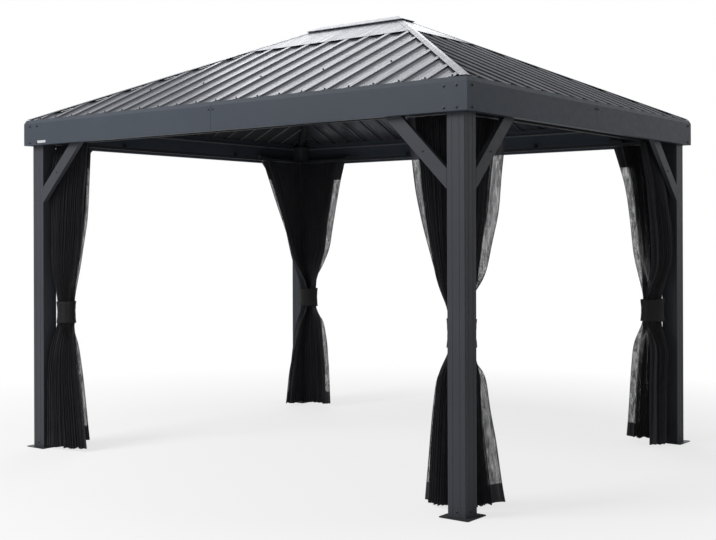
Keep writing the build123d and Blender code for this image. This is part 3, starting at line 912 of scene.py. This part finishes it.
def add_screws():
    screw = flanged_bolt(across=0.007, head_high=0.004, flange=0.0062)
    places = [
        fascia_place(side, offset, HEAD_ROOM + SEAM_ROW)
        for side in SIDES for offset in (-SEAM_SPREAD, SEAM_SPREAD)
    ]
    copy_to(screw, places, "seam_screws", SCREW_PAINT)

    for side, (_, _, half, _) in SIDES.items():
        outer = math.floor((half - EAVE_SCREW_MARGIN) / RIB_PITCH)
        places = []
        for rib in range(-outer, outer + 1):
            along = rib * RIB_PITCH + RIB_SHIFT
            places.append(slope_place(side, along, EAVE_SCREW, RIB_CREST))
            if rib % UPPER_SCREW_EVERY == 0 and abs(along) < half - UPPER_SCREW_MARGIN:
                places.append(slope_place(side, along, UPPER_SCREW, RIB_CREST))
        copy_to(screw, places, f"roof_screws_{side}", SCREW_PAINT)

    places = []
    height = BRACE_FOOT + BRACE_SCREW
    for sx, sy in CORNERS.values():
        out_x, out_y = Vector((sx, 0, 0)), Vector((0, sy, 0))
        brace_x, brace_y = sx * (POST_INNER_X - BRACE_SCREW), sy * (POST_INNER_Y - BRACE_SCREW)
        outer_x, outer_y = sx * POST_OUTER_X, sy * POST_OUTER_Y
        places.append(facing(Vector((brace_x, outer_y, height)), out_y))
        places.append(facing(Vector((outer_x, brace_y, height)), out_x))
        places.append(facing(Vector((outer_x, sy * POST_MIDDLE_Y, FOOT_SCREW)), out_x))
        places.append(facing(Vector((sx * POST_MIDDLE_X, outer_y, FOOT_SCREW)), out_y))
    copy_to(screw, places, "brace_and_foot_screws", SCREW_PAINT)
    discard(screw)


# A bare plate on the front fascia, beside its left corner
PLATE_SIZE = (0.09, 0.0016, 0.017)
PLATE_X = -1.618
PLATE_HEIGHT = 2.106
PLATE_CORNER = 0.003
PLATE_RIM = 0.0008
PLATE_DOME = 0.0005


def add_blank_plate():
    """A bare enamelled plate with rounded corners and a raised middle."""
    place = (PLATE_X, -HALF_WIDTH - PLATE_SIZE[1] / 2, PLATE_HEIGHT)
    bpy.ops.mesh.primitive_cube_add(size=1, location=place)
    plate = bpy.context.active_object
    plate.scale = PLATE_SIZE
    settle(plate)
    edit(plate, edges=lambda a, b: abs(a.y - b.y) > PLATE_SIZE[1] / 2)
    bpy.ops.mesh.bevel(offset=PLATE_CORNER, segments=3)
    leave_edit()
    raise_panel(plate, lambda centre, normal: normal.y < -0.9, PLATE_RIM, (0, -PLATE_DOME, 0))
    finish_piece(plate, "blank_plate", BLANK_PLATE)


# Ledges under the edge of the roof sheets
LEDGE_DEEP = 0.015
LEDGE_THICK = 0.002
LEDGE_LIP = 0.010
LEDGE_HEIGHT = 2.224
LEDGE_MIDDLE = 0.0078


def add_ledges():
    """A folded ledge along the inner face of each fascia beam, from post to post."""
    for side, (along, inward, _, away) in SIDES.items():
        reach = POST_INNER_X if side in LONG_SIDES else POST_INNER_Y
        bpy.ops.mesh.primitive_cube_add(size=1)
        ledge = bpy.context.active_object
        ledge.scale = (2 * reach, LEDGE_DEEP, LEDGE_THICK)
        settle(ledge)
        fold_out(ledge, lambda centre, normal: normal.y > 0.9, (0, LEDGE_THICK, 0))
        fold_out(
            ledge, lambda centre, normal: normal.z < -0.9 and centre.y > LEDGE_DEEP / 2,
            (0, 0, -LEDGE_LIP),
        )
        middle = inward * (BEAM_DEEP + LEDGE_MIDDLE - away) + UP * LEDGE_HEIGHT
        turn = Matrix((along, inward, UP)).transposed().to_4x4()
        ledge.matrix_world = Matrix.Translation(middle) @ turn
        settle(ledge)
        finish_piece(ledge, f"sheet_ledge_{side}", LEDGE_PAINT)


# The studio: lamps with their place, size and watts, a bright surround and a pale floor
LAMPS = {
    "key_lamp": ((-3.2, -7.6, 6.4), 4.0, 560),
    "back_lamp": ((-7.0, 8.0, 6.5), 6.0, 290),
}
LAMP_AIM = Vector((0, 0, 1.5))
SURROUND_ON_PAINT = 0.2
SURROUND_SEEN = 1.0
FLOOR_SIZE = 400
FLOOR_COLOUR = (0.95, 0.95, 0.95, 1)
WHITE_STARTS = 2.2
WHITE_ENDS = 5.0
WHITE_NEAR = 0.72
WHITE_FAR = 1.0


def light_studio():
    """Two lamps, and a surround that is seen and mirrored white but gives little light."""
    world = bpy.data.worlds.new("studio")
    bpy.context.scene.world = world
    studio = Nodes(world)
    background = studio.tree.nodes["Background"]
    background.inputs["Color"].default_value = (1, 1, 1, 1)
    ray = studio.add("LightPath").outputs
    seen = studio.math("MAXIMUM", ray["Is Camera Ray"], ray["Is Glossy Ray"])
    seen = studio.math("MAXIMUM", seen, ray["Is Transmission Ray"])
    level = studio.spread(seen, 0, 1, SURROUND_ON_PAINT, SURROUND_SEEN)
    studio.join(level, background.inputs["Strength"])
    for name, (place, size, power) in LAMPS.items():
        lamp = bpy.data.lights.new(name, "AREA")
        lamp.size = size
        lamp.energy = power
        holder = link(name, lamp)
        holder.location = place
        aim = LAMP_AIM - holder.location
        holder.rotation_euler = aim.to_track_quat("-Z", "Y").to_euler()


def lay_floor():
    """A pale studio floor, white to the eye, that keeps the gazebo's shadow."""
    bpy.ops.mesh.primitive_plane_add(size=FLOOR_SIZE)
    floor = bpy.context.active_object
    floor.name = "studio_floor"
    material = bpy.data.materials.new("studio_paper")
    paper = Nodes(material)
    shader = paper.tree.nodes["Principled BSDF"]
    fill(shader, {"Base Color": FLOOR_COLOUR, "Roughness": 0.95, "Specular IOR Level": 0.1})
    place = paper.add("TexCoord")
    far = paper.add("VectorMath", operation="LENGTH")
    paper.join(place.outputs["Object"], far.inputs[0])
    fade = paper.spread(far.outputs["Value"], WHITE_STARTS, WHITE_ENDS, WHITE_NEAR, WHITE_FAR)
    seen = paper.times(paper.add("LightPath").outputs["Is Camera Ray"], fade)
    white = paper.add("Emission")
    mix = paper.add("MixShader")
    paper.join(seen, mix.inputs[0])
    paper.join(shader.outputs[0], mix.inputs[1])
    paper.join(white.outputs[0], mix.inputs[2])
    paper.join(mix.outputs[0], paper.tree.nodes["Material Output"].inputs["Surface"])
    floor.data.materials.append(material)


place_camera()
dress_frame()
hang_curtains()
add_fascia_bolts()
add_screws()
add_blank_plate()
add_ledges()
light_studio()
lay_floor()

bpy.context.scene.view_settings.view_transform = "Standard"
